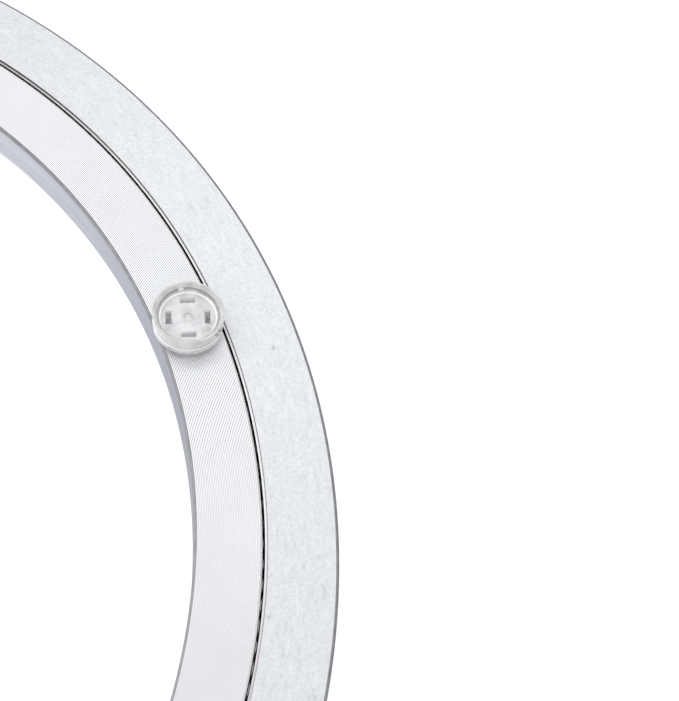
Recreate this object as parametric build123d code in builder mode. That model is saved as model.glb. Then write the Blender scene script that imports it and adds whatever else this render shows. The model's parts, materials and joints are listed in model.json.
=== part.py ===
"""Turntable bearing: two flat aluminium rings on one row of steel balls, with clear bumpers."""

import os
from math import floor, pi

from build123d import *

os.makedirs("parts", exist_ok=True)

# Rings, in millimetres
outer_diameter = 300.0
outer_ring_width = 14.1
running_gap = 0.4
inner_ring_width = 13.0
ring_thickness = 10.0
outer_edge_fillet = 0.55
ledge_width = 0.5
ledge_depth = 0.6
lip_chamfer = 0.5
bore_chamfer_width = 0.5
bore_chamfer_height = 0.8
underside_chamfer = 0.3

# Balls and their race
ball_diameter = 4.0
ball_spacing = 0.05
race_clearance = 0.06

# Hole that the balls are loaded through, and the set screw that closes it
loading_clearance = 1.0
screw_thread_clearance = 0.05
screw_end_clearance = 0.4
screw_recess = 0.5
screw_chamfer = 0.4
hex_key_width = 2.5
hex_key_depth = 3.0

# Clear bumper, one moulding used eight times: turned about its own axis by an angle in degrees, and
# on the inner ring shifted outward from the middle of the face
bumper_count = 4
bumper_diameter = 14.35
bumper_height = 5.5
bumper_flare = 0.12
bumper_turn = -18.0
top_bumper_shift = 0.12
rim_land = 0.4
rim_width = 1.25
rim_drop = 1.1
rim_outer_fillet = 0.15
rim_inner_fillet = 0.15
base_fillet = 0.9
dish_depth = 2.1
dish_draft = 0.1
dish_fillet = 0.3
dimple_diameter = 1.7
dimple_depth = 1.2

# Split collar under the bumper, and the blind socket that holds it
collar_diameter = 9.0
collar_wall = 1.2
collar_slot = 3.0
collar_slot_count = 4
collar_clearance = 0.05
socket_depth = 2.0
socket_end_clearance = 0.2

# Places worked out from the sizes above: the feet stand on z = 0, the axis is Z
outer_radius = outer_diameter / 2
outer_lip_radius = outer_radius - outer_ring_width
ledge_radius = outer_lip_radius + ledge_width
inner_lip_radius = outer_lip_radius - running_gap
bore_radius = inner_lip_radius - inner_ring_width
ring_bottom = bumper_height
ring_top = ring_bottom + ring_thickness
ring_middle = ring_bottom + ring_thickness / 2
ledge_top = ring_top - ledge_depth

ball_radius = ball_diameter / 2
race_radius = (outer_lip_radius + inner_lip_radius) / 2
groove_radius = ball_radius + race_clearance
ball_count = floor(2 * pi * race_radius / (ball_diameter + ball_spacing))

loading_hole_radius = (ball_diameter + loading_clearance) / 2
screw_radius = loading_hole_radius - screw_thread_clearance
screw_inner_end = race_radius + groove_radius + screw_end_clearance
screw_outer_end = outer_radius - screw_recess

rim_radius = bumper_diameter / 2
base_radius = rim_radius - bumper_flare
land_radius = rim_radius - rim_land
dish_rim_radius = rim_radius - rim_width
dish_rim = bumper_height - rim_drop
dish_floor_radius = dish_rim_radius - dish_draft
dish_floor = bumper_height - dish_depth
collar_radius = collar_diameter / 2
collar_length = socket_depth - socket_end_clearance
socket_radius = collar_radius + collar_clearance

inner_face_middle = (bore_radius + bore_chamfer_width + inner_lip_radius - lip_chamfer) / 2
top_bumper_circle = inner_face_middle + top_bumper_shift
foot_bumper_circle = (outer_lip_radius + underside_chamfer + outer_radius - outer_edge_fillet) / 2
bumper_step = 360 / bumper_count
foot_start = bumper_step / 2

# Outer ring: ledge beside the gap, rounded outer edges, half of the race, foot sockets and loading hole
with BuildPart() as outer_ring:
    with BuildSketch(Plane.XZ) as outer_section:
        with BuildLine():
            Polyline(
                (outer_lip_radius + underside_chamfer, ring_bottom),
                (outer_radius, ring_bottom),
                (outer_radius, ring_top),
                (ledge_radius, ring_top),
                (ledge_radius, ledge_top),
                (outer_lip_radius, ledge_top),
                (outer_lip_radius, ring_bottom + underside_chamfer),
                close=True,
            )
        make_face()
        fillet(outer_section.vertices().group_by(Axis.X)[-1], outer_edge_fillet)
        with Locations((race_radius, ring_middle)):
            Circle(groove_radius, mode=Mode.SUBTRACT)
    revolve(axis=Axis.Z)
    with BuildSketch(Plane.XY.offset(ring_bottom)):
        with PolarLocations(foot_bumper_circle, bumper_count, start_angle=foot_start):
            Circle(socket_radius)
    extrude(amount=socket_depth, mode=Mode.SUBTRACT)
    with BuildSketch(Plane.YZ.offset(-outer_radius)):
        with Locations((0, ring_middle)):
            Circle(loading_hole_radius)
    extrude(amount=outer_radius - race_radius, mode=Mode.SUBTRACT)
outer_ring.part.label = "outer_ring"
export_step(outer_ring.part, "parts/outer_ring.step")

# Inner ring: chamfered flat ring with the other half of the race and the top bumpers' sockets
with BuildPart() as inner_ring:
    with BuildSketch(Plane.XZ):
        with BuildLine():
            Polyline(
                (bore_radius + underside_chamfer, ring_bottom),
                (inner_lip_radius - underside_chamfer, ring_bottom),
                (inner_lip_radius, ring_bottom + underside_chamfer),
                (inner_lip_radius, ring_top - lip_chamfer),
                (inner_lip_radius - lip_chamfer, ring_top),
                (bore_radius + bore_chamfer_width, ring_top),
                (bore_radius, ring_top - bore_chamfer_height),
                (bore_radius, ring_bottom + underside_chamfer),
                close=True,
            )
        make_face()
        with Locations((race_radius, ring_middle)):
            Circle(groove_radius, mode=Mode.SUBTRACT)
    revolve(axis=Axis.Z)
    with BuildSketch(Plane.XY.offset(ring_top)):
        with PolarLocations(top_bumper_circle, bumper_count):
            Circle(socket_radius)
    extrude(amount=-socket_depth, mode=Mode.SUBTRACT)
inner_ring.part.label = "inner_ring"
export_step(inner_ring.part, "parts/inner_ring.step")

# Full row of balls, side by side in the race with no cage
with BuildPart() as bearing_balls:
    with Locations((0, 0, ring_middle)):
        with PolarLocations(race_radius, ball_count):
            Sphere(ball_radius)
bearing_balls.part.label = "bearing_balls"
export_step(bearing_balls.part, "parts/bearing_balls.step")

# Socket set screw in the loading hole, in the outer wall on the -X side
with BuildPart() as filler_screw:
    with BuildSketch(Plane.YZ.offset(-screw_outer_end)):
        with Locations((0, ring_middle)):
            Circle(screw_radius)
    extrude(amount=screw_outer_end - screw_inner_end)
    chamfer(filler_screw.edges().filter_by(GeomType.CIRCLE), screw_chamfer)
    with BuildSketch(Plane.YZ.offset(-screw_outer_end)):
        with Locations((0, ring_middle)):
            RegularPolygon(hex_key_width / 2, 6, major_radius=False)
    extrude(amount=hex_key_depth, mode=Mode.SUBTRACT)
filler_screw.part.label = "filler_screw"
export_step(filler_screw.part, "parts/filler_screw.step")

# Bumper moulding, standing on its seat at the origin: sloped rim, dish, slots, dimple and split collar
with BuildPart() as bumper:
    with BuildSketch(Plane.XZ) as bumper_section:
        with BuildLine():
            Polyline(
                (0, 0),
                (base_radius, 0),
                (rim_radius, bumper_height),
                (land_radius, bumper_height),
                (dish_rim_radius, dish_rim),
                (dish_floor_radius, dish_floor),
                (0, dish_floor),
                close=True,
            )
        make_face()
        for radius, height, rounding in (
            (rim_radius, bumper_height, rim_outer_fillet),
            (dish_rim_radius, dish_rim, rim_inner_fillet),
            (dish_floor_radius, dish_floor, dish_fillet),
            (base_radius, 0, base_fillet),
        ):
            fillet(bumper_section.vertices().sort_by_distance((radius, height))[0], rounding)
    revolve(axis=Axis.Z)
    with BuildSketch():
        Circle(collar_radius)
        Circle(collar_radius - collar_wall, mode=Mode.SUBTRACT)
        with PolarLocations(collar_radius, collar_slot_count):
            Rectangle(collar_radius, collar_slot, mode=Mode.SUBTRACT)
    extrude(amount=-collar_length)
    with BuildSketch(Plane.XY.offset(dish_floor)):
        with PolarLocations(collar_radius - collar_wall / 2, collar_slot_count):
            Rectangle(collar_wall, collar_slot)
    extrude(amount=-dish_floor, mode=Mode.SUBTRACT)
    with BuildSketch(Plane.XY.offset(dish_floor)):
        Circle(dimple_diameter / 2)
    extrude(amount=-dimple_depth, mode=Mode.SUBTRACT)

# Bumpers on the inner ring, rims up, for the board to rest on
for number, seat in enumerate(PolarLocations(top_bumper_circle, bumper_count).locations, start=1):
    with BuildPart() as top_bumper:
        with Locations(Location((0, 0, ring_top)) * seat * Location((0, 0, 0), (0, 0, bumper_turn))):
            add(bumper.part)
    top_bumper.part.label = f"top_bumper_{number}"
    export_step(top_bumper.part, f"parts/top_bumper_{number}.step")

# The same bumpers under the outer ring, rims down, as feet
foot_seats = PolarLocations(foot_bumper_circle, bumper_count, start_angle=foot_start).locations
for number, seat in enumerate(foot_seats, start=1):
    with BuildPart() as foot_bumper:
        with Locations(Location((0, 0, ring_bottom)) * seat * Location((0, 0, 0), (180, 0, bumper_turn))):
            add(bumper.part)
    foot_bumper.part.label = f"foot_bumper_{number}"
    export_step(foot_bumper.part, f"parts/foot_bumper_{number}.step")
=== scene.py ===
"""Turntable bearing: two aluminium rings on a row of steel balls, with clear moulded bumpers."""
import json
import math

import bmesh
import bpy
from mathutils import Matrix, Vector


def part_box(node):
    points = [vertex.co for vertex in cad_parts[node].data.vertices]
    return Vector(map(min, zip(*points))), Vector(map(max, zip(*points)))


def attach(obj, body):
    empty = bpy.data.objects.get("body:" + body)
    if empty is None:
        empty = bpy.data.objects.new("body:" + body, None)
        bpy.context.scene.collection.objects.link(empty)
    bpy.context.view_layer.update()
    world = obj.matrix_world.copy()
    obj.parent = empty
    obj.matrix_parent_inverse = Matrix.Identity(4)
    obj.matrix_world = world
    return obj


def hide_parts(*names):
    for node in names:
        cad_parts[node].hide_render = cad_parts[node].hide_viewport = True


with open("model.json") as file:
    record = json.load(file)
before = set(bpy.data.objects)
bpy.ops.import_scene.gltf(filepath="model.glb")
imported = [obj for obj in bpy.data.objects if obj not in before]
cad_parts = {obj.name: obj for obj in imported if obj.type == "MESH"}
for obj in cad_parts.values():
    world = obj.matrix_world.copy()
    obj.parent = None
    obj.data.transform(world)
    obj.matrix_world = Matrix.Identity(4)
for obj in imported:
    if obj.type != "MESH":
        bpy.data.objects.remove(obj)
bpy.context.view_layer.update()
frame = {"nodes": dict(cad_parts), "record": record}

MM = 0.001

# Camera: where it stands, what it looks at on the ring's top plane, its roll and its lens
CAMERA_PLACE = Vector((71.459, -139.744, 286.618)) * MM
CAMERA_TARGET = Vector((156.042, -15.499, 15.5)) * MM
CAMERA_ROLL = math.radians(-13.158)
CAMERA_LENS = 78.565
CAMERA_NEAREST = 0.01
SENSOR = 36.0

# Studio: one key light, a sky whose tones go by the height they are seen at, and a wide floor
KEY_PLACE = Vector((-0.26, 0.55, 0.62))
KEY_TARGET = Vector((0.12, 0.0, 0.0))
KEY_SIZE = 0.25
KEY_POWER = 1.5
SKY_TONES = (
    (0.0, (0.74, 0.74, 0.745, 1)),
    (0.55, (1.02, 1.02, 1.025, 1)),
    (0.80, (1.36, 1.365, 1.375, 1)),
    (1.0, (1.26, 1.26, 1.265, 1)),
)
FLOOR_SIZE = 30.0
FLOOR_CELLS = 8
FLOOR_TONES = (0.44, 0.44, 0.44, 1), (0.46, 0.46, 0.46, 1)
FLOOR_GLOW = 0.68
WHITE = (1, 1, 1, 1)

# Sizes read from the frame, in metres
outer_low, outer_high = [Vector(corner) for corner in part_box("outer_ring")]
inner_high = Vector(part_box("inner_ring")[1])
balls_low, balls_high = [Vector(corner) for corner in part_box("bearing_balls")]
RING_BOTTOM = outer_low.z
RING_TOP = outer_high.z
RING_MIDDLE = (RING_BOTTOM + RING_TOP) / 2
OUTER_RADIUS = min(outer_high.x, outer_high.y, -outer_low.x, -outer_low.y)
INNER_LIP_RADIUS = inner_high.x
BALL_RADIUS = (balls_high.z - balls_low.z) / 2
RACE_RADIUS = balls_high.x - BALL_RADIUS
OUTER_LIP_RADIUS = 2 * RACE_RADIUS - INNER_LIP_RADIUS
MOUNTS = {mount["name"]: mount for mount in frame["record"]["mounts"]}
BORE_RADIUS = MOUNTS["centre_bore"]["dims"]["r_mm"] * MM

# Edges of the rings, the race and the hole that the balls are loaded through
OUTER_EDGE_FILLET = 0.55 * MM
LEDGE_WIDTH = 0.5 * MM
LEDGE_DEPTH = 0.6 * MM
LIP_CHAMFER = 0.5 * MM
BORE_CHAMFER_WIDTH = 0.5 * MM
BORE_CHAMFER_HEIGHT = 0.8 * MM
UNDERSIDE_CHAMFER = 0.3 * MM
EDGE_ROUNDING = 0.05 * MM
RACE_CLEARANCE = 0.06 * MM
GROOVE_RADIUS = BALL_RADIUS + RACE_CLEARANCE
BALL_SPACING = 0.05 * MM
LOADING_HOLE_RADIUS = 2.5 * MM

# Bumper moulding: a share of the rim's slope, from its foot up, is painted shade, and the bead round the
# wall carries a painted highlight
BUMPER_HEIGHT = RING_BOTTOM
BUMPER_RADIUS = 7.175 * MM
BUMPER_FLARE = 0.12 * MM
BUMPER_TURN = math.radians(-18)
RIM_LAND = 0.4 * MM
RIM_WIDTH = 1.25 * MM
RIM_DROP = 1.1 * MM
RIM_OUTER_FILLET = 0.15 * MM
RIM_INNER_FILLET = 0.15 * MM
LAND_ROUNDING = 0.06 * MM
SHADED_RIM = 0.30
BASE_FILLET = 0.9 * MM
SEAT_GAP = 0.01 * MM
GATE_SIZE = Vector((0.45, 0.70, 0.40)) * MM
GATE_PLACE = Vector((5.98, 0.0, 4.40)) * MM
GATE_ANGLE = math.radians(102)
BEAD_HEIGHT = 2.4 * MM
BEAD_WIDTH = 0.7 * MM
BEAD_RISE = 0.06 * MM
DISH_DEPTH = 2.1 * MM
DISH_DRAFT = 0.1 * MM
DISH_FILLET = 0.3 * MM
DIMPLE_RADIUS = 0.85 * MM
DIMPLE_DEPTH = 1.2 * MM
DIMPLE_ROUNDING = 0.12 * MM

# Split collar under the bumper, the slots over its gaps and the socket that holds it
COLLAR_RADIUS = 4.5 * MM
COLLAR_WALL = 1.2 * MM
COLLAR_SLOT = 3.0 * MM
COLLAR_SLOTS = 4
COLLAR_LENGTH = 1.8 * MM
MOUTH_STEP = 0.03 * MM
MOUTH_DEPTH = 0.65 * MM
SOCKET_RADIUS = 4.55 * MM
SOCKET_DEPTH = 2.0 * MM

# Fineness of the meshes
RING_SEGMENTS = 720
BUMPER_SEGMENTS = 128
ROD_SEGMENTS = 96
GATE_SEGMENTS = 32
GATE_RINGS = 16
BALL_SEGMENTS = 24
BALL_RINGS = 12
GROOVE_STEPS = 20
ROUNDING_STEPS = 6
FILLET_STEPS = 8
SUPPORT = 0.1 * MM
BUMPER_SUPPORT = 0.03 * MM
SMOOTH_ANGLE = math.radians(35)
ON_AXIS = 1e-7
SLIVER = 0.001 * MM

# Zones of a ring and of a bumper, with the place of each one's material in the list of materials
# On a ring, the wall, edge, riser and dark_edge zones are darkened as painted shade, and the ledge holds
# painted light and shade
ZONES = {"face": 0, "wall": 1, "edge": 2, "race": 3, "ledge": 4, "riser": 5, "lip": 6, "dark_edge": 7}
# On a bumper, the white zone is painted highlight, the shaded and dark zones painted shade
BUMPER_ZONES = {"clear": 0, "frosted": 1, "milky": 2, "white": 3, "shaded": 4, "dark": 5}

# Painted light and shade that change round the bearing swing as often as it has bumpers on one ring
SWINGS_ROUND = 4.0

# Satin top of the outer ring
SATIN_TONES = (0.718, 0.733, 0.757, 1), (0.768, 0.783, 0.806, 1)
SATIN_GRAIN = (0.64, 0.652, 0.678, 1)
SATIN_PALE_SCUFF = (0.88, 0.885, 0.905, 1)
SATIN_DARK_SCUFF = (0.567, 0.577, 0.60, 1)
SATIN_MARK = (0.36, 0.37, 0.39, 1)
# The satin's sheen is painted light, brightest at this angle
SATIN_BRIGHTEST = math.radians(8)
SATIN_PAINTED_SHEEN = 0.042

# Turned top of the inner ring
TURNED_TONES = (0.86, 0.87, 0.885, 1), (0.90, 0.91, 0.925, 1)
# Painted shade on one slope of each turned ring
TURNED_PAINTED_SHADE = (0.33, 0.33, 0.345, 1)
TURNED_PITCH = 0.3144 * MM
TURNED_DEPTH = 0.02 * MM
# Strength of that painted shade, and a painted glint that shows the rings clearest at this angle and
# faintest between
TURNED_CONTRAST = 0.92
TURNED_CLEAREST = math.radians(4)
TURNED_FAINTEST = 0.15
# Painted sheen round the inner ring, brightest at this angle
TURNED_BRIGHTEST = math.radians(5)
TURNED_DARKEST = 0.962
TURNED_LIGHTEST = 1.06

# Walls and edges of both rings
# The walls are set darker than the tops as painted shade
WALL_TONES = (0.59, 0.605, 0.655, 1), (0.69, 0.71, 0.755, 1)
WALL_GLANCE = (0.42, 0.43, 0.47, 1)
WALL_STRETCH = (40.0, 40.0, 2600.0)
# Painted sheen round the walls, brightest at this angle
WALL_BRIGHTEST = math.radians(20)
WALL_DARKEST = 0.79
# The ledge's dark tone is painted shade and its bright tone painted light, brightest at this angle
LEDGE_TONES = (0.64, 0.605, 0.63, 1), (0.97, 0.97, 0.98, 1)
LEDGE_BRIGHTEST = math.radians(-1)
# The edges' dark tones are painted shade
CUT_EDGE_TONES = (0.265, 0.261, 0.278, 1), (0.36, 0.355, 0.375, 1)
DARK_EDGE_TONES = (0.18, 0.18, 0.195, 1), (0.25, 0.25, 0.265, 1)
# The riser's dark line is painted shade
RISER_TONES = (0.082, 0.058, 0.058, 1), (0.13, 0.094, 0.094, 1)
LIP_TONES = (0.93, 0.93, 0.95, 1), (0.98, 0.98, 0.99, 1)
# The race is set near black
RACE_TONES = (0.012, 0.012, 0.012, 1), (0.025, 0.025, 0.027, 1)

# Steel of the balls and the screw; the balls are darkened as painted shade of the running gap
BALL_TONES = (0.28, 0.28, 0.29, 1), (0.38, 0.38, 0.39, 1)
SCREW_TONES = (0.40, 0.41, 0.43, 1), (0.55, 0.55, 0.56, 1)

# Polymer of the bumpers, with tones for painted highlight and painted shade
CLEAR_TONES = (0.965, 0.955, 0.955, 1), (0.99, 0.985, 0.985, 1)
FROSTED_TONES = (0.93, 0.93, 0.94, 1), (0.97, 0.97, 0.975, 1)
MILKY_TONES = (0.945, 0.95, 0.965, 1), (0.975, 0.98, 0.995, 1)
PAINTED_HIGHLIGHT_TONES = (0.97, 0.97, 0.97, 1), (1.0, 1.0, 1.0, 1)
PAINTED_SHADE_TONES = (0.60, 0.59, 0.59, 1), (0.68, 0.67, 0.67, 1)
PAINTED_DARK_SHADE_TONES = (0.48, 0.47, 0.47, 1), (0.56, 0.55, 0.55, 1)
POLYMER_IOR = 1.49
ROUGHEST_HAZE = 1.6


def rounded_outline(corners, steps, support):
    """Points of an outline with its corners rounded off, each with the zone of the side that follows.

    A corner is (radius, height, rounding, zone), and may name a zone of its own for the rounding. A
    point is added a little way along each side, so that the flat sides stay flat when the mesh is
    shaded smooth.
    """
    points = []
    for index, (radius, height, rounding, zone, *own) in enumerate(corners):
        corner = Vector((radius, height))
        if rounding == 0:
            points.append((corner, zone))
            continue
        to_last = (Vector(corners[index - 1][:2]) - corner).normalized()
        to_next = (Vector(corners[(index + 1) % len(corners)][:2]) - corner).normalized()
        half = to_last.angle(to_next) / 2
        reach = rounding / math.tan(half)
        centre = corner + (to_last + to_next).normalized() * (rounding / math.sin(half))
        first = corner + to_last * reach - centre
        turn = first.angle_signed(corner + to_next * reach - centre)
        points.append((corner + to_last * (reach + support), corners[index - 1][3]))
        for step in range(steps + 1):
            arm = Matrix.Rotation(-turn * step / steps, 2) @ first
            points.append((centre + arm, own[0] if own else zone))
        points.append((corner + to_next * (reach + support), zone))
    return points


def race_corners(inward):
    """The groove's arc as corners with no rounding: upwards in the inner ring, downwards in the outer."""
    offset = INNER_LIP_RADIUS - RACE_RADIUS if inward else OUTER_LIP_RADIUS - RACE_RADIUS
    lip = math.acos(offset / GROOVE_RADIUS)
    start, end = (2 * math.pi - lip, lip) if inward else (lip, -lip)
    corners = []
    for step in range(GROOVE_STEPS + 1):
        angle = start + (end - start) * step / GROOVE_STEPS
        radius = RACE_RADIUS + GROOVE_RADIUS * math.cos(angle)
        height = RING_MIDDLE + GROOVE_RADIUS * math.sin(angle)
        corners.append((radius, height, 0, "race"))
    return corners


def sphere_outline(radius, rings, zone):
    """Half circle from the bottom to the top, for a sphere whose mesh has the same order each run."""
    points = []
    for ring in range(rings + 1):
        angle = math.pi * (ring / rings - 0.5)
        points.append((Vector((radius * math.cos(angle), radius * math.sin(angle))), zone))
    return points


def new_object(name, mesh):
    piece = bpy.data.objects.new(name, mesh)
    bpy.context.scene.collection.objects.link(piece)
    return piece


def new_mesh(name, vertices, faces):
    mesh = bpy.data.meshes.new(name)
    mesh.from_pydata(vertices, [], faces)
    return mesh


def built_object(name, build):
    """Object from a bmesh, which is freed."""
    mesh = bpy.data.meshes.new(name)
    build.to_mesh(mesh)
    build.free()
    return new_object(name, mesh)


def add_materials(piece, materials):
    for material in materials:
        piece.data.materials.append(material)


def lathe(name, outline, segments, zones, closed):
    """Turns an outline, given anticlockwise, about the Z axis. zones gives each zone's material index."""
    vertices = []
    columns = []
    for segment in range(segments):
        angle = 2 * math.pi * segment / segments
        column = []
        for row, (point, _) in enumerate(outline):
            if point.x < ON_AXIS and segment:
                column.append(columns[0][row])
                continue
            column.append(len(vertices))
            vertices.append((point.x * math.cos(angle), point.x * math.sin(angle), point.y))
        columns.append(column)
    faces = []
    materials = []
    for segment in range(segments):
        left = columns[segment]
        right = columns[(segment + 1) % segments]
        for row in range(len(outline) if closed else len(outline) - 1):
            above = (row + 1) % len(outline)
            corners = dict.fromkeys((left[row], right[row], right[above], left[above]))
            if len(corners) < 3:
                continue
            faces.append(tuple(corners))
            materials.append(zones[outline[row][1]])
    mesh = new_mesh(name, vertices, faces)
    mesh.polygons.foreach_set("material_index", materials)
    return new_object(name, mesh)


def cutter(build, material):
    """Object from a bmesh, which leaves faces with the given material index where it cuts."""
    for face in build.faces:
        face.material_index = material
    return built_object("cutter", build)


def box_cutter(size, place, material):
    build = bmesh.new()
    bmesh.ops.create_cube(build, size=1.0, matrix=place @ Matrix.Diagonal((*size, 1.0)))
    return cutter(build, material)


def rod_cutter(radius, depth, place, material):
    build = bmesh.new()
    bmesh.ops.create_cone(
        build,
        cap_ends=True,
        segments=ROD_SEGMENTS,
        radius1=radius,
        radius2=radius,
        depth=depth,
        matrix=place,
    )
    return cutter(build, material)


def clean(mesh):
    """Dissolves the slivers that a cut leaves."""
    build = bmesh.new()
    build.from_mesh(mesh)
    bmesh.ops.dissolve_degenerate(build, dist=SLIVER, edges=build.edges)
    build.to_mesh(mesh)
    build.free()


def cut(piece, tools, operation="DIFFERENCE"):
    """Takes the cutters out of a piece, or joins them to it, and removes them."""
    for tool in tools:
        step = piece.modifiers.new("cut", "BOOLEAN")
        step.operation = operation
        step.solver = "MANIFOLD"
        step.object = tool
    depsgraph = bpy.context.evaluated_depsgraph_get()
    mesh = bpy.data.meshes.new_from_object(piece.evaluated_get(depsgraph))
    clean(mesh)
    piece.modifiers.clear()
    old = piece.data
    piece.data = mesh
    mesh.name = piece.name
    bpy.data.meshes.remove(old)
    for tool in tools:
        bpy.data.meshes.remove(tool.data)


def smooth(piece):
    """Shades a piece smooth, apart from its sharp edges."""
    for face in piece.data.polygons:
        face.use_smooth = True
    piece.data.set_sharp_from_angle(angle=SMOOTH_ANGLE)


class Nodes:
    """Short helper for building a material's node tree."""

    def __init__(self, name):
        self.material = bpy.data.materials.new(name)
        self.material.use_nodes = True
        self.tree = self.material.node_tree
        self.shader = self.tree.nodes["Principled BSDF"]
        self.place = self.add("ShaderNodeTexCoord").outputs["Object"]

    def add(self, kind, **settings):
        node = self.tree.nodes.new(kind)
        for key, value in settings.items():
            setattr(node, key, value)
        return node

    def link(self, source, socket):
        self.tree.links.new(source, socket)

    def feed(self, value, socket):
        """Sets a socket to a constant, or links it to another node's output."""
        if isinstance(value, (int, float, tuple)):
            socket.default_value = value
        else:
            self.link(value, socket)

    def math(self, operation, first, second=0.0):
        node = self.add("ShaderNodeMath", operation=operation)
        self.feed(first, node.inputs[0])
        self.feed(second, node.inputs[1])
        return node.outputs[0]

    def noise(self, scale, detail=2.0, roughness=0.5, vector=None):
        node = self.add("ShaderNodeTexNoise")
        self.feed(self.place if vector is None else vector, node.inputs["Vector"])
        node.inputs["Scale"].default_value = scale
        node.inputs["Detail"].default_value = detail
        node.inputs["Roughness"].default_value = roughness
        return node.outputs["Fac"]

    def spread(self, value, low, high, from_low=0.3, from_high=0.7):
        """Maps one range on to another, with nothing past its ends. A noise mostly lies in 0.3 to 0.7."""
        node = self.add("ShaderNodeMapRange")
        node.clamp = True
        self.feed(value, node.inputs["Value"])
        node.inputs["From Min"].default_value = from_low
        node.inputs["From Max"].default_value = from_high
        node.inputs["To Min"].default_value = low
        node.inputs["To Max"].default_value = high
        return node.outputs["Result"]

    def blend(self, factor, first, second):
        node = self.add("ShaderNodeMix", data_type="RGBA")
        self.feed(factor, node.inputs["Factor"])
        self.feed(first, node.inputs["A"])
        self.feed(second, node.inputs["B"])
        return node.outputs["Result"]

    def scale(self, colour, factor):
        """The colour made darker or lighter by a factor."""
        node = self.add("ShaderNodeVectorMath", operation="SCALE")
        self.link(colour, node.inputs["Vector"])
        self.link(factor, node.inputs["Scale"])
        return node.outputs["Vector"]

    def polar(self):
        """Distance from the bearing's axis, in metres, and angle round it."""
        split = self.add("ShaderNodeSeparateXYZ")
        self.link(self.place, split.inputs[0])
        x, y = split.outputs[0], split.outputs[1]
        square = self.math("ADD", self.math("POWER", x, 2.0), self.math("POWER", y, 2.0))
        return self.math("SQRT", square), self.math("ARCTAN2", y, x)

    def round_place(self, across, along):
        """Place given by the radius and the direction from the axis, for marks that run round the ring."""
        radius, angle = self.polar()
        join = self.add("ShaderNodeCombineXYZ")
        self.link(self.math("MULTIPLY", radius, across), join.inputs[0])
        self.link(self.math("MULTIPLY", self.math("COSINE", angle), along), join.inputs[1])
        self.link(self.math("MULTIPLY", self.math("SINE", angle), along), join.inputs[2])
        return join.outputs[0]

    def fan(self, angle, middle):
        """Swings between 1 and -1 round the bearing, and is 1 at the given angle; it places painted light
        and shade.
        """
        turn = self.math("SUBTRACT", angle, middle)
        return self.math("COSINE", self.math("MULTIPLY", turn, SWINGS_ROUND))

    def bump(self, height, strength, distance):
        node = self.add("ShaderNodeBump")
        node.inputs["Strength"].default_value = strength
        node.inputs["Distance"].default_value = distance
        self.link(height, node.inputs["Height"])
        self.link(node.outputs["Normal"], self.shader.inputs["Normal"])

    def set(self, **values):
        """Feeds the shader's sockets, which are named in lower case with underscores."""
        for key, value in values.items():
            self.feed(value, self.shader.inputs[key.replace("_", " ").title()])


def satin_material():
    """Blasted top of the outer ring: fine grain, faint scuffs that run round it, a few dark marks and a
    painted sheen.
    """
    nodes = Nodes("satin_aluminium")
    grain = nodes.noise(scale=1700.0, detail=3.0, roughness=0.6)
    blotch = nodes.noise(scale=260.0, detail=4.0, roughness=0.6)
    round_ring = nodes.round_place(across=1200.0, along=40.0)
    scuffs = nodes.noise(scale=1.0, detail=3.0, roughness=0.55, vector=round_ring)
    marks = nodes.noise(scale=520.0)
    share = nodes.spread(blotch, 0.0, 1.0, from_low=0.35, from_high=0.65)
    tone = nodes.blend(share, *SATIN_TONES)
    share = nodes.spread(grain, 0.0, 1.0, from_low=0.35, from_high=0.75)
    tone = nodes.blend(share, tone, SATIN_GRAIN)
    share = nodes.spread(scuffs, 0.0, 0.5, from_low=0.56, from_high=0.80)
    tone = nodes.blend(share, tone, SATIN_PALE_SCUFF)
    share = nodes.spread(scuffs, 0.7, 0.0, from_low=0.24, from_high=0.42)
    tone = nodes.blend(share, tone, SATIN_DARK_SCUFF)
    share = nodes.spread(marks, 0.0, 0.55, from_low=0.67, from_high=0.85)
    tone = nodes.blend(share, tone, SATIN_MARK)
    swing = nodes.fan(nodes.polar()[1], SATIN_BRIGHTEST)
    sheen = nodes.spread(swing, 1 - SATIN_PAINTED_SHEEN, 1 + SATIN_PAINTED_SHEEN, from_low=-1.0, from_high=1.0)
    nodes.set(base_color=nodes.scale(tone, sheen), metallic=0.75)
    nodes.set(roughness=nodes.spread(blotch, 0.58, 0.68))
    nodes.bump(grain, strength=0.12, distance=0.04 * MM)
    return nodes.material


def turned_material():
    """Top of the inner ring: fine rings left by the turning tool, with painted shade on one slope of each,
    a painted glint that makes them clearest beside each bumper and a painted sheen.
    """
    nodes = Nodes("turned_aluminium")
    radius, angle = nodes.polar()
    turn = nodes.math("MULTIPLY", radius, 2 * math.pi / TURNED_PITCH)
    swing = nodes.fan(angle, TURNED_CLEAREST)
    clear = nodes.spread(swing, TURNED_FAINTEST, 1.0, from_low=-0.1, from_high=1.0)
    wave = nodes.math("MULTIPLY", nodes.math("SINE", turn), clear)
    ridges = nodes.spread(wave, 0.0, 1.0, from_low=-1.0, from_high=1.0)
    slope = nodes.math("MULTIPLY", nodes.math("COSINE", turn), clear)
    painted_slope_shade = nodes.spread(slope, TURNED_CONTRAST, 0.0, from_low=-0.6, from_high=0.6)
    blotch = nodes.noise(scale=160.0, detail=3.0)
    tone = nodes.blend(nodes.spread(blotch, 0.0, 1.0), *TURNED_TONES)
    swing = nodes.fan(angle, TURNED_BRIGHTEST)
    sheen = nodes.spread(swing, TURNED_DARKEST, TURNED_LIGHTEST, from_low=-1.0, from_high=-0.2)
    nodes.set(base_color=nodes.blend(painted_slope_shade, nodes.scale(tone, sheen), TURNED_PAINTED_SHADE), metallic=0.75)
    nodes.set(roughness=0.24, anisotropic=0.5)
    tangent = nodes.add("ShaderNodeTangent", direction_type="RADIAL", axis="Z")
    nodes.set(tangent=tangent.outputs[0])
    nodes.bump(ridges, strength=1.0, distance=TURNED_DEPTH)
    return nodes.material


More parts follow.
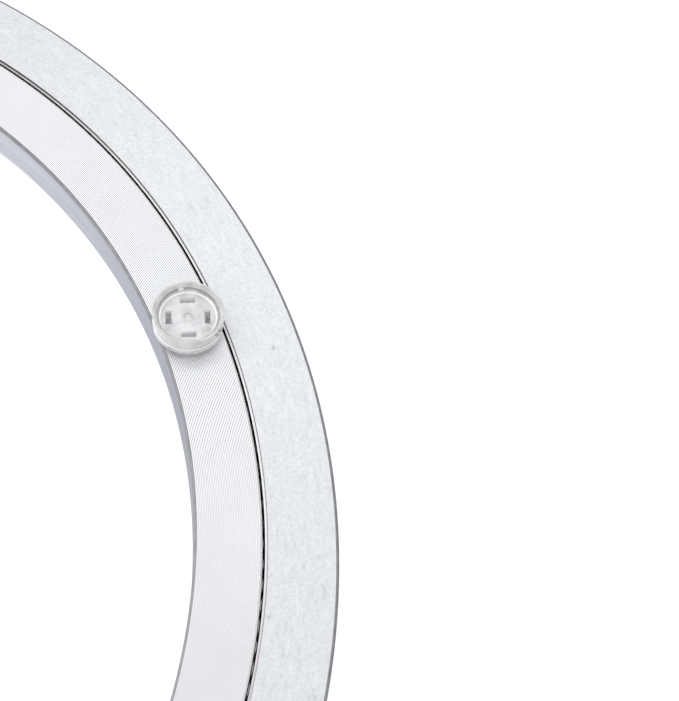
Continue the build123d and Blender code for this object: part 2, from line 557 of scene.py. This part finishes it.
def wall_material():
    """Side walls of the rings: bluish, darkened as painted shade, with faint marks that run round the ring
    and a slow painted sheen.
    """
    nodes = Nodes("ring_wall")
    stretch = nodes.add("ShaderNodeMapping")
    nodes.link(nodes.place, stretch.inputs["Vector"])
    stretch.inputs["Scale"].default_value = WALL_STRETCH
    marks = nodes.noise(scale=1.0, detail=3.0, vector=stretch.outputs[0])
    tone = nodes.blend(nodes.spread(marks, 0.0, 1.0), *WALL_TONES)
    swing = nodes.fan(nodes.polar()[1], WALL_BRIGHTEST)
    sheen = nodes.spread(swing, WALL_DARKEST, 1.0, from_low=-1.0, from_high=1.0)
    nodes.set(base_color=nodes.scale(tone, sheen), metallic=0.95, specular_tint=WALL_GLANCE)
    nodes.set(roughness=nodes.spread(marks, 0.34, 0.46))
    nodes.bump(marks, strength=0.08, distance=0.04 * MM)
    return nodes.material


def ledge_material():
    """Ledge beside the running gap: painted light near each bumper and painted shade between them, with
    faint marks.
    """
    nodes = Nodes("ledge")
    marks = nodes.noise(scale=900.0, detail=3.0)
    swing = nodes.fan(nodes.polar()[1], LEDGE_BRIGHTEST)
    tone_mix = nodes.math("ADD", swing, nodes.spread(marks, -0.15, 0.15))
    tone = nodes.blend(nodes.spread(tone_mix, 0.0, 1.0, from_low=-0.75, from_high=0.35), *LEDGE_TONES)
    nodes.set(base_color=tone, metallic=0.6, roughness=nodes.spread(marks, 0.45, 0.60))
    return nodes.material


def edge_material(name, tones):
    """Broken edges at the bore and round the outside, darkened as painted shade."""
    nodes = Nodes(name)
    marks = nodes.noise(scale=700.0, detail=3.0)
    nodes.set(base_color=nodes.blend(nodes.spread(marks, 0.0, 1.0), *tones), metallic=0.9)
    nodes.set(roughness=nodes.spread(marks, 0.30, 0.40))
    return nodes.material


def lip_material(name, tones):
    """Broken edges beside the running gap; the riser's dark tones are painted shade."""
    nodes = Nodes(name)
    marks = nodes.noise(scale=900.0, detail=3.0)
    nodes.set(base_color=nodes.blend(nodes.spread(marks, 0.0, 1.0), *tones), metallic=0.6)
    nodes.set(roughness=nodes.spread(marks, 0.45, 0.60))
    return nodes.material


def filmed_material(name, tones, metallic, smoothest, roughest, scale, detail=2.0):
    """Metal under a thin coat of oil, which changes its tone and its roughness a little; the balls' dark
    tones are painted shade.
    """
    nodes = Nodes(name)
    tone_mix = nodes.noise(scale=scale, detail=detail)
    nodes.set(base_color=nodes.blend(tone_mix, *tones), metallic=metallic)
    nodes.set(roughness=nodes.spread(tone_mix, smoothest, roughest))
    return nodes.material


def polymer_material(name, tones, roughness, transmission, cloud=0.0):
    """Moulded polymer with a faint haze, more or less clear, and in patches where it is cloudy."""
    nodes = Nodes(name)
    haze = nodes.noise(scale=1000.0)
    clearness = transmission
    if cloud:
        clearness = nodes.spread(nodes.noise(scale=450.0), transmission - cloud, transmission + cloud)
    nodes.set(base_color=nodes.blend(haze, *tones), transmission_weight=clearness)
    nodes.set(roughness=nodes.spread(haze, roughness, ROUGHEST_HAZE * roughness))
    nodes.set(coat_weight=0.4, coat_roughness=0.02)
    nodes.shader.inputs["IOR"].default_value = POLYMER_IOR
    nodes.bump(haze, strength=0.05, distance=0.05 * MM)
    return nodes.material


def floor_material():
    nodes = Nodes("pale_floor")
    nodes.set(base_color=nodes.blend(nodes.noise(scale=3.0), *FLOOR_TONES), roughness=0.9)
    nodes.set(emission_color=WHITE, emission_strength=FLOOR_GLOW)
    return nodes.material


def bumper_names(kind):
    return sorted(name for name in frame["nodes"] if name.startswith(kind + "_bumper"))


def bumper_seat(node):
    """Middle of a bumper's box, which gives its place on the ring."""
    low, high = [Vector(corner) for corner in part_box(node)]
    return (low + high) / 2


def new_ring(name, corners, materials):
    """Ring turned from its section's corners."""
    outline = rounded_outline(corners, ROUNDING_STEPS, SUPPORT)
    ring = lathe(name, outline, RING_SEGMENTS, ZONES, closed=True)
    add_materials(ring, materials)
    return ring


def socket_cutters(kind, height):
    """Cutters for the blind sockets of one kind of bumper, in the face at the given height."""
    cutters = []
    for node in bumper_names(kind):
        seat = bumper_seat(node)
        place = Matrix.Translation((seat.x, seat.y, height))
        cutters.append(rod_cutter(SOCKET_RADIUS, 2 * SOCKET_DEPTH, place, ZONES["ledge"]))
    return cutters


def make_outer_ring(materials):
    rounding = EDGE_ROUNDING
    corners = [
        (OUTER_RADIUS, RING_BOTTOM, OUTER_EDGE_FILLET, "wall", "dark_edge"),
        (OUTER_RADIUS, RING_TOP, OUTER_EDGE_FILLET, "face", "dark_edge"),
        (OUTER_LIP_RADIUS + LEDGE_WIDTH, RING_TOP, rounding, "riser"),
        (OUTER_LIP_RADIUS + LEDGE_WIDTH, RING_TOP - LEDGE_DEPTH, 0, "ledge"),
        (OUTER_LIP_RADIUS, RING_TOP - LEDGE_DEPTH, rounding, "race"),
        *race_corners(inward=False),
        (OUTER_LIP_RADIUS, RING_BOTTOM + UNDERSIDE_CHAMFER, rounding, "edge"),
        (OUTER_LIP_RADIUS + UNDERSIDE_CHAMFER, RING_BOTTOM, rounding, "face"),
    ]
    ring = new_ring("satin_outer_ring", corners, materials)
    cutters = socket_cutters("foot", RING_BOTTOM)
    hole_length = OUTER_RADIUS - RACE_RADIUS
    place = Matrix.Translation((-OUTER_RADIUS, 0, RING_MIDDLE)) @ Matrix.Rotation(math.pi / 2, 4, "Y")
    cutters.append(rod_cutter(LOADING_HOLE_RADIUS, 2 * hole_length, place, ZONES["wall"]))
    cut(ring, cutters)
    smooth(ring)
    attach(ring, "base")
    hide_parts("outer_ring")


def make_inner_ring(materials):
    rounding = EDGE_ROUNDING
    corners = [
        (INNER_LIP_RADIUS - LIP_CHAMFER, RING_TOP, rounding, "face"),
        (BORE_RADIUS + BORE_CHAMFER_WIDTH, RING_TOP, rounding, "edge", "dark_edge"),
        (BORE_RADIUS, RING_TOP - BORE_CHAMFER_HEIGHT, rounding, "wall"),
        (BORE_RADIUS, RING_BOTTOM + UNDERSIDE_CHAMFER, rounding, "edge"),
        (BORE_RADIUS + UNDERSIDE_CHAMFER, RING_BOTTOM, rounding, "face"),
        (INNER_LIP_RADIUS - UNDERSIDE_CHAMFER, RING_BOTTOM, rounding, "lip"),
        (INNER_LIP_RADIUS, RING_BOTTOM + UNDERSIDE_CHAMFER, rounding, "race"),
        *race_corners(inward=True),
        (INNER_LIP_RADIUS, RING_TOP - LIP_CHAMFER, rounding, "lip", "race"),
    ]
    ring = new_ring("turned_inner_ring", corners, materials)
    cut(ring, socket_cutters("top", RING_TOP))
    smooth(ring)
    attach(ring, "turntable")
    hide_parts("inner_ring")


def ball_mesh():
    """One ball at the origin, as vertices and faces."""
    outline = sphere_outline(BALL_RADIUS, BALL_RINGS, "steel")
    mesh = lathe("ball", outline, BALL_SEGMENTS, {"steel": 0}, closed=False).data
    vertices = [vertex.co.copy() for vertex in mesh.vertices]
    faces = [tuple(face.vertices) for face in mesh.polygons]
    bpy.data.meshes.remove(mesh)
    return vertices, faces


def make_balls(material):
    """The full row of balls as one mesh, side by side in the race."""
    count = math.floor(2 * math.pi * RACE_RADIUS / (2 * BALL_RADIUS + BALL_SPACING))
    ball_vertices, ball_faces = ball_mesh()
    vertices = []
    faces = []
    for index in range(count):
        angle = 2 * math.pi * index / count
        middle = Vector((RACE_RADIUS * math.cos(angle), RACE_RADIUS * math.sin(angle), RING_MIDDLE))
        start = len(vertices)
        vertices.extend(middle + vertex for vertex in ball_vertices)
        faces.extend([start + corner for corner in face] for face in ball_faces)
    balls = new_object("polished_balls", new_mesh("polished_balls", vertices, faces))
    add_materials(balls, [material])
    smooth(balls)
    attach(balls, "ball_train")
    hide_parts("bearing_balls")


def gate_mark():
    """Small nub that the mould's gate leaves at the top of the dish wall."""
    outline = sphere_outline(1.0, GATE_RINGS, "milky")
    nub = lathe("gate_mark", outline, GATE_SEGMENTS, BUMPER_ZONES, closed=False)
    turn = Matrix.Rotation(GATE_ANGLE, 4, "Z")
    nub.data.transform(turn @ Matrix.Translation(GATE_PLACE) @ Matrix.Diagonal((*GATE_SIZE, 1.0)))
    return nub


def wall_radius(height):
    """Radius of the bumper's flared wall at a height above its seat."""
    return BUMPER_RADIUS - BUMPER_FLARE * (1 - height / BUMPER_HEIGHT)


def collar_cutters(floor_height):
    """Cutters for the slots in the dish, their slightly wider mouths and the gaps in the collar."""
    middle = COLLAR_RADIUS - COLLAR_WALL / 2
    slot_size = (COLLAR_WALL, COLLAR_SLOT, 2 * floor_height)
    mouth_size = (COLLAR_WALL + 2 * MOUTH_STEP, COLLAR_SLOT + 2 * MOUTH_STEP, 2 * MOUTH_DEPTH)
    gap_size = (COLLAR_RADIUS, COLLAR_SLOT, 2 * COLLAR_LENGTH)
    cutters = []
    for index in range(COLLAR_SLOTS):
        turn = Matrix.Rotation(2 * math.pi * index / COLLAR_SLOTS, 4, "Z")
        # The mouths' white zone is a painted highlight on the upper part of each slot's wall
        for size, place, zone in (
            (slot_size, (middle, 0, floor_height / 2), "milky"),
            (mouth_size, (middle, 0, floor_height), "white"),
            (gap_size, (COLLAR_RADIUS, 0, SEAT_GAP - COLLAR_LENGTH), "frosted"),
        ):
            cutters.append(box_cutter(size, turn @ Matrix.Translation(place), BUMPER_ZONES[zone]))
    return cutters


def bumper_mesh(materials):
    """The moulding on its seat at the origin, rim up, with each zone's look chosen from the polymers; its
    white zones are painted highlight, its shaded and dark zones painted shade.
    """
    rim_inner = BUMPER_RADIUS - RIM_WIDTH
    shade_radius = rim_inner + SHADED_RIM * (RIM_WIDTH - RIM_LAND)
    shade_height = BUMPER_HEIGHT - (1 - SHADED_RIM) * RIM_DROP
    bead_low = BEAD_HEIGHT - BEAD_WIDTH / 2
    bead_high = BEAD_HEIGHT + BEAD_WIDTH / 2
    floor_radius = rim_inner - DISH_DRAFT
    floor_height = BUMPER_HEIGHT - DISH_DEPTH
    corners = [
        (0, SEAT_GAP, 0, "frosted"),
        (COLLAR_RADIUS - COLLAR_WALL, SEAT_GAP, 0, "frosted"),
        (COLLAR_RADIUS - COLLAR_WALL, -COLLAR_LENGTH, 0, "frosted"),
        (COLLAR_RADIUS, -COLLAR_LENGTH, 0, "frosted"),
        (COLLAR_RADIUS, SEAT_GAP, 0, "frosted"),
        # The base's rounding is painted shade, a dark line where the bumper meets the ring
        (BUMPER_RADIUS - BUMPER_FLARE, SEAT_GAP, BASE_FILLET, "clear", "shaded"),
        # The bead's lower half is milky and its upper half a painted highlight line round the wall
        (wall_radius(bead_low), bead_low, 0, "milky"),
        (wall_radius(BEAD_HEIGHT) + BEAD_RISE, BEAD_HEIGHT, 0, "white"),
        (wall_radius(bead_high), bead_high, 0, "clear"),
        (BUMPER_RADIUS, BUMPER_HEIGHT, RIM_OUTER_FILLET, "clear"),
        (BUMPER_RADIUS - RIM_LAND, BUMPER_HEIGHT, LAND_ROUNDING, "clear"),
        # The foot of the rim's slope and the rim's inner rounding are painted shade
        (shade_radius, shade_height, 0, "dark"),
        (rim_inner, BUMPER_HEIGHT - RIM_DROP, RIM_INNER_FILLET, "clear", "dark"),
        # The dish's rounding is a painted highlight; the dimple's rounding is painted shade, its wall and
        # floor painted highlight
        (floor_radius, floor_height, DISH_FILLET, "milky", "white"),
        (DIMPLE_RADIUS, floor_height, DIMPLE_ROUNDING, "white", "shaded"),
        (DIMPLE_RADIUS, floor_height - DIMPLE_DEPTH, 0, "white"),
        (0, floor_height - DIMPLE_DEPTH, 0, "white"),
    ]
    outline = rounded_outline(corners, FILLET_STEPS, BUMPER_SUPPORT)
    bumper = lathe("bumper", outline, BUMPER_SEGMENTS, BUMPER_ZONES, closed=False)
    add_materials(bumper, materials)
    cut(bumper, [gate_mark()], "UNION")
    cut(bumper, collar_cutters(floor_height))
    smooth(bumper)
    mesh = bumper.data
    bpy.data.objects.remove(bumper)
    return mesh


def make_bumpers(materials):
    """The same moulding eight times: rims up on the inner ring, rims down under the outer ring."""
    mesh = bumper_mesh(materials)
    for kind, body, seat_height, flip in (
        ("top", "turntable", RING_TOP, 0),
        ("foot", "base", RING_BOTTOM, math.pi),
    ):
        for node in bumper_names(kind):
            seat = bumper_seat(node)
            angle = math.atan2(seat.y, seat.x)
            place = Matrix.Translation((seat.x, seat.y, seat_height)) @ Matrix.Rotation(angle, 4, "Z")
            copy = mesh.copy()
            copy.transform(place @ Matrix.Rotation(flip, 4, "X") @ Matrix.Rotation(BUMPER_TURN, 4, "Z"))
            piece = new_object("clear_" + node, copy)
            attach(piece, body)
            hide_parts(node)
    bpy.data.meshes.remove(mesh)


def dress_screw(material):
    screw = frame["nodes"]["filler_screw"]
    screw.data.materials.clear()
    add_materials(screw, [material])


def make_floor():
    """Floor so wide that no view shows its edge."""
    build = bmesh.new()
    bmesh.ops.create_grid(build, x_segments=FLOOR_CELLS, y_segments=FLOOR_CELLS, size=FLOOR_SIZE)
    floor = built_object("floor", build)
    add_materials(floor, [floor_material()])


def make_world():
    """Even studio sky, brighter from above than from the side."""
    world = bpy.data.worlds.new("studio")
    bpy.context.scene.world = world
    world.use_nodes = True
    tree = world.node_tree
    place = tree.nodes.new("ShaderNodeTexCoord")
    split = tree.nodes.new("ShaderNodeSeparateXYZ")
    ramp = tree.nodes.new("ShaderNodeValToRGB")
    tree.links.new(place.outputs["Generated"], split.inputs[0])
    tree.links.new(split.outputs["Z"], ramp.inputs["Fac"])
    stops = ramp.color_ramp.elements
    lowest, *between, highest = SKY_TONES
    stops[0].position, stops[0].color = lowest
    stops[1].position, stops[1].color = highest
    for height, colour in between:
        stops.new(height).color = colour
    background = tree.nodes["Background"]
    tree.links.new(ramp.outputs["Color"], background.inputs["Color"])
    background.inputs["Strength"].default_value = 1.0


def make_key_light():
    """Round light for the shadows, which is not mirrored in the metal."""
    lamp = bpy.data.lights.new("key", "AREA")
    lamp.shape = "DISK"
    lamp.size = KEY_SIZE
    lamp.energy = KEY_POWER
    light = new_object("key", lamp)
    light.location = KEY_PLACE
    light.rotation_euler = (KEY_TARGET - KEY_PLACE).to_track_quat("-Z", "Y").to_euler()
    light.visible_glossy = False


def make_camera():
    lens = bpy.data.cameras.new("camera")
    lens.lens = CAMERA_LENS
    lens.sensor_width = SENSOR
    lens.clip_start = CAMERA_NEAREST
    camera = new_object("camera", lens)
    aim = (CAMERA_TARGET - CAMERA_PLACE).to_track_quat("-Z", "Y").to_matrix().to_4x4()
    camera.matrix_world = Matrix.Translation(CAMERA_PLACE) @ aim @ Matrix.Rotation(-CAMERA_ROLL, 4, "Z")
    bpy.context.scene.camera = camera


# Materials that both rings use, in the order of the zones, after the material of the ring's own face
shared = [
    wall_material(),
    edge_material("cut_edge_painted_shade", CUT_EDGE_TONES),
    filmed_material("near_black_race", RACE_TONES, metallic=0.6, smoothest=0.25, roughest=0.40, scale=500.0),
    ledge_material(),
    lip_material("riser", RISER_TONES),
    lip_material("inner_lip", LIP_TONES),
    edge_material("outer_edge_painted_shade", DARK_EDGE_TONES),
]
make_outer_ring([satin_material(), *shared])
make_inner_ring([turned_material(), *shared])

make_balls(filmed_material(
    "ball_steel", BALL_TONES, metallic=1.0, smoothest=0.05, roughest=0.10, scale=900.0
))

# Materials of a bumper, in the order of its zones; the last three are painted highlight and painted shade
make_bumpers([
    polymer_material("clear_polymer", CLEAR_TONES, roughness=0.03, transmission=0.62, cloud=0.10),
    polymer_material("frosted_polymer", FROSTED_TONES, roughness=0.38, transmission=0.97),
    polymer_material("milky_polymer", MILKY_TONES, roughness=0.07, transmission=0.55, cloud=0.12),
    polymer_material("polymer_painted_highlight", PAINTED_HIGHLIGHT_TONES, roughness=0.07, transmission=0.12),
    polymer_material("polymer_painted_shade", PAINTED_SHADE_TONES, roughness=0.07, transmission=0.70),
    polymer_material("polymer_painted_dark_shade", PAINTED_DARK_SHADE_TONES, roughness=0.07, transmission=0.70),
])

dress_screw(filmed_material(
    "screw_steel", SCREW_TONES, metallic=1.0, smoothest=0.28, roughest=0.42, scale=1500.0, detail=3.0
))

make_floor()
make_world()
make_key_light()
make_camera()
bpy.context.scene.view_settings.view_transform = "Standard"
